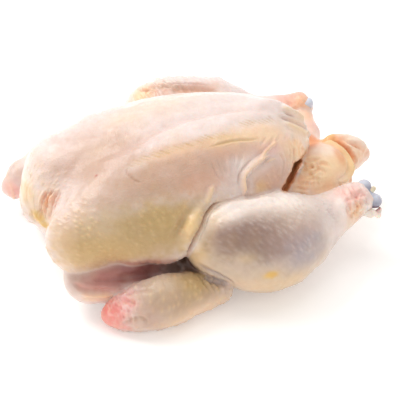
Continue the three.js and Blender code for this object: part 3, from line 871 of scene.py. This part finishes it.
CRINKLED = [((84, -58, 43), (11, 15, 12), 1.2), ((62, -28, 66), (16, 10, 14), 0.45),
            ((-107, -3, 56), (9, 8, 14), 0.5), ((-82, -74, 19), (14, 12, 14), 0.7),
            ((92, 52, 45), (8, 12, 10), 0.3), ((-6, 76, 66), (14, 10, 8), 0.5),
            ((66, -30, 50), (12, 14, 8), 0.55), ((112, -2, 40), (14, 10, 12), 0.45)]
crinkled = np.zeros(len(skin_points))
for centre, radii, amount in CRINKLED:
    apart = (((skin_points - np.array(centre)) / np.array(radii)) ** 2).sum(1)
    crinkled = np.maximum(crinkled, amount * np.exp(-apart ** 2))
stretched = skin_points * np.array([1.15, 0.5, 0.75])
coarse_puckers = 1 - 2.4 * np.abs(noise(stretched, 3.0, 6))
fine_puckers = 1 - 2.4 * np.abs(noise(stretched, 1.7, 7))
puckers = coarse_puckers + 0.6 * fine_puckers
raised += PUCKER_HEIGHT * crinkled * puckers
# In the crinkled skin the hollows are painted redder, partly their own colour and partly painted shade,
# and the crests paler as a painted highlight.
paint.coat(crinkled * np.clip(-puckers, 0, 1) * 0.3, RED_PINK)
paint.coat(crinkled * np.clip(puckers - 0.5, 0, 1) * 0.5, PALE)
# Painted shade: the creases between parts are darkened towards dusty rose, except in the slit.
paint.coat(in_shaded_crease * (1 - in_slit) * 0.22, DUSTY_ROSE)

lumps = sum(height * noise(skin_points, scale, seed) for height, scale, seed in LUMPS)
lumps = lumps + 0.7 * share["wings"] * noise(skin_points, 6, 4)
blotches = noise(skin_points, 13, 8) + 0.6 * noise(skin_points, 5, 9)
paint.coat(np.clip(blotches, 0, 1) * 0.14, ROSE)
paint.coat(np.clip(-blotches, 0, 1) * 0.12, BUTTER)
paint.dab((-79, -21, 85), (0.9, 0.9, 0.9), DEEP_ROSE, 0.9)
shaped = skin_points + skin_normals * (raised + lumps + bumps)[:, None]


# The skin becomes one closed mesh over the whole bird. It is moist and lets some light in,
# so it is softly glossy, with a fine grain of pores that gives it a satin look.
def skin_material(name, roughness, coat, scatter, grain):
    """Moist animal tissue in the mesh's own paint, with mottling, pores and a thin wet film."""
    material = bpy.data.materials.new(name)
    material.use_nodes = True
    nodes, links = material.node_tree.nodes, material.node_tree.links
    shader = nodes["Principled BSDF"]
    shader.inputs["Subsurface Weight"].default_value = scatter
    shader.inputs["Subsurface Radius"].default_value = (1.0, 0.42, 0.26)
    shader.inputs["Subsurface Scale"].default_value = 0.0028
    shader.inputs["IOR"].default_value = 1.42
    shader.inputs["Coat Weight"].default_value = coat
    shader.inputs["Coat Roughness"].default_value = 0.18
    tint = nodes.new("ShaderNodeAttribute")
    tint.attribute_name = "tint"
    place = nodes.new("ShaderNodeTexCoord")

    def texture(kind, scale, detail=None):
        """A procedural texture in the object's own metres."""
        made = nodes.new(kind)
        made.inputs["Scale"].default_value = scale
        if detail:
            made.inputs["Detail"].default_value = detail
        links.new(place.outputs["Object"], made.inputs["Vector"])
        return made

    mottle = texture("ShaderNodeTexNoise", 260, 5)
    shades = nodes.new("ShaderNodeValToRGB")
    shades.color_ramp.elements[0].position = 0.3
    shades.color_ramp.elements[0].color = (0.93, 0.9, 0.88, 1)
    shades.color_ramp.elements[1].position = 0.62
    shades.color_ramp.elements[1].color = (1, 1, 1, 1)
    links.new(mottle.outputs["Fac"], shades.inputs["Fac"])
    mixed = nodes.new("ShaderNodeMix")
    mixed.data_type = "RGBA"
    mixed.blend_type = "MULTIPLY"
    mixed.inputs["Factor"].default_value = 0.7
    links.new(tint.outputs["Color"], mixed.inputs["A"])
    links.new(shades.outputs["Color"], mixed.inputs["B"])
    links.new(mixed.outputs["Result"], shader.inputs["Base Color"])

    moisture = texture("ShaderNodeTexNoise", 70, 3)
    gloss = nodes.new("ShaderNodeMapRange")
    gloss.inputs["From Min"].default_value = 0.3
    gloss.inputs["From Max"].default_value = 0.7
    gloss.inputs["To Min"].default_value = roughness - 0.08
    gloss.inputs["To Max"].default_value = roughness + 0.12
    links.new(moisture.outputs["Fac"], gloss.inputs["Value"])
    links.new(gloss.outputs["Result"], shader.inputs["Roughness"])

    pores = texture("ShaderNodeTexVoronoi", 900)
    wrinkles = texture("ShaderNodeTexNoise", 520, 4)
    relief = nodes.new("ShaderNodeMath")
    relief.operation = "ADD"
    links.new(pores.outputs["Distance"], relief.inputs[0])
    links.new(wrinkles.outputs["Fac"], relief.inputs[1])
    bump = nodes.new("ShaderNodeBump")
    bump.inputs["Strength"].default_value = grain
    bump.inputs["Distance"].default_value = 0.0004
    links.new(relief.outputs["Value"], bump.inputs["Height"])
    links.new(bump.outputs["Normal"], shader.inputs["Normal"])
    return material


# The skin is centred over the solid and stands on the same table, and nothing is below it.
box_low, box_high = (np.array(corner) * 1000 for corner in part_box("chicken"))
shift = (box_low + box_high) / 2 - (smooth_low + smooth_high) / 2
shift[2] = box_low[2] - smooth_low[2]
shaped[:, 2] = np.maximum(shaped[:, 2], smooth_low[2])


def piece_from(name, points, quads, colours, material):
    """One piece of the bird, from points in millimetres, in its place on the frame."""
    mesh = bpy.data.meshes.new(name)
    mesh.from_pydata(((points + shift) / 1000).tolist(), [], quads.tolist())
    mesh.polygons.foreach_set("use_smooth", [True] * len(mesh.polygons))
    colours.put_on(mesh)
    mesh.materials.append(material)
    piece = bpy.data.objects.new(name, mesh)
    bpy.context.scene.collection.objects.link(piece)
    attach(piece, "root")
    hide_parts("chicken")


raw_skin = skin_material("raw_skin", roughness=0.36, coat=0.3, scatter=0.18, grain=0.35)
piece_from("chicken_skin", shaped, skin_quads, paint, raw_skin)


# The knuckles: the two rounded ends of each shin bone, capped with blue-grey cartilage, which
# was cut free at the hock joint. A groove runs between them, and the cut left a little blood.
CARTILAGE = (158, 158, 176)
CARTILAGE_PAINTED_LIGHT = (212, 216, 228)
CARTILAGE_PAINTED_SHADE = (96, 92, 112)
BLOOD = (120, 48, 58)
NEAR_KNUCKLE_UPPER = [(91, -50.5, 43.5, 4.8), (96.3, -49.5, 45.2, 4.8)]
NEAR_KNUCKLE_LOWER = [(94, -57, 39, 4.8), (100, -58, 38.3, 5.0)]
NEAR_SHIN = [(86, -54, 40, 6), (96, -54, 41, 4.6)]
FAR_KNUCKLES = [[(96, 52, 44, 4.6), (102, 51.5, 44.5, 4.5)],
                [(96, 59, 41, 4.2), (103, 59, 41.5, 4.3)]]
NEAR_KNUCKLE_SPACE = ((80, -66, 30), (110, -42, 53))
FAR_KNUCKLE_SPACE = ((88, 44, 33), (112, 68, 53))
KNUCKLE_CELL = 0.45


def near_knuckles(p):
    d = soft_min(limb(p, NEAR_KNUCKLE_UPPER, 2), limb(p, NEAR_KNUCKLE_LOWER, 2), 1.2)
    return soft_min(d, limb(p, NEAR_SHIN, 2), 2)


def far_knuckles(p):
    return soft_min(limb(p, FAR_KNUCKLES[0], 2), limb(p, FAR_KNUCKLES[1], 2), 1.2)


def roughened(function, space, cell, height, scale, seed, stretch=(1, 1, 1)):
    """A small piece's points, a little uneven, with its faces and normals."""
    points, quads, normals = settled(function, space, cell)
    uneven = height * noise(points * np.array(stretch), scale, seed)
    return points + normals * uneven[:, None], quads, normals


cartilage = skin_material("cartilage", roughness=0.26, coat=0.6, scatter=0.12, grain=0.08)
points, quads, normals = roughened(near_knuckles, NEAR_KNUCKLE_SPACE, KNUCKLE_CELL, 0.25, 3, 70)
caps = Paint(points, CARTILAGE)
# Painted light and shade: the knuckles' upward faces are painted lighter and their undersides darker.
caps.coat(ramp(normals[:, 2], 0.1, 0.9) * 0.75, CARTILAGE_PAINTED_LIGHT)
off_smooth = near_knuckles(tuple(points.T))
shaded = np.exp(-(off_smooth ** 2)) * ramp(-normals[:, 2], -0.2, 0.6)
caps.coat(shaded * 0.7, CARTILAGE_PAINTED_SHADE)
# Painted shade in the groove between the knuckles.
caps.dab((97, -54, 42), (4, 2.5, 4), CARTILAGE_PAINTED_SHADE, 0.9)
caps.dab((101, -60, 33.5), (5, 4, 1.8), BLOOD, 0.95)
piece_from("near_knuckles", points, quads, caps, cartilage)

points, quads, normals = roughened(far_knuckles, FAR_KNUCKLE_SPACE, KNUCKLE_CELL, 0.25, 3, 71)
# The far knuckles are painted lighter all over as painted light, with their undersides back in the
# cartilage's own colour.
caps = Paint(points, CARTILAGE_PAINTED_LIGHT)
caps.coat(ramp(-normals[:, 2], -0.2, 0.7) * 0.6, CARTILAGE)
piece_from("far_knuckles", points, quads, caps, cartilage)


# The tendon: the cut stub of the cord that worked the foot. It stands up between the knuckles,
# cream, and painted brown on the faces that point down and back towards the leg, as painted shade.
TENDON = [(94, -53.5, 41.5, 2.0), (98.5, -53.8, 43.5, 1.9), (101.5, -53.4, 44.5, 1.6)]
TENDON_SPACE, TENDON_CELL = ((90, -58, 37), (106, -49, 49)), 0.3
FIBRE_STRETCH = (0.4, 1, 1)
TENDON_CREAM = (226, 212, 186)
TENDON_UNDERSIDE_SHADE = (120, 84, 62)


def tendon(p):
    return limb(p, TENDON, 1.5)


points, quads, normals = roughened(tendon, TENDON_SPACE, TENDON_CELL, 0.3, 1.3, 72, FIBRE_STRETCH)
cord_paint = Paint(points, TENDON_CREAM)
# Painted shade: brown on the tendon's faces that point down and back.
cord_paint.coat(ramp(-normals[:, 0] - normals[:, 2], 0, 1) * 0.9, TENDON_UNDERSIDE_SHADE)
sinew = skin_material("sinew", roughness=0.34, coat=0.35, scatter=0.2, grain=0.3)
piece_from("tendon_stub", points, quads, cord_paint, sinew)


# The flap: thin white skin that hangs from the hock's lower edge, where the foot was cut off.
# It is part of the leg's skin, thinner towards its wavy end, with a pink stain on top.
FLAP = [(90, -62, 35, 2.6), (95, -63.5, 33.5, 2.4), (99.5, -63.5, 32.2, 2.0),
        (102.5, -62, 32.5, 1.1)]
FLAP_MIDDLE, FLAP_FLATNESS = -63, 0.75
FLAP_WAVE_HEIGHT, FLAP_WAVES = 0.8, 0.9
FLAP_SPACE, FLAP_CELL = ((84, -72, 26), (108, -52, 42)), 0.4
FLAP_WHITE = (244, 234, 222)


def flap(p):
    wave = FLAP_WAVE_HEIGHT * np.sin(p[0] * FLAP_WAVES) * ramp(p[0], 90, 100)
    across = p[1] * FLAP_FLATNESS + FLAP_MIDDLE * (1 - FLAP_FLATNESS)
    return limb((p[0], across, p[2] + wave), FLAP, 2)


points, quads, normals = roughened(flap, FLAP_SPACE, FLAP_CELL, 0.35, 2.4, 73)
flap_paint = Paint(points, FLAP_WHITE)
flap_paint.dab((100, -62, 34.5), (4, 4, 1.5), PINK, 0.6)
thin_skin = skin_material("thin_skin", roughness=0.36, coat=0.3, scatter=0.4, grain=0.25)
piece_from("hock_flap", points, quads, flap_paint, thin_skin)
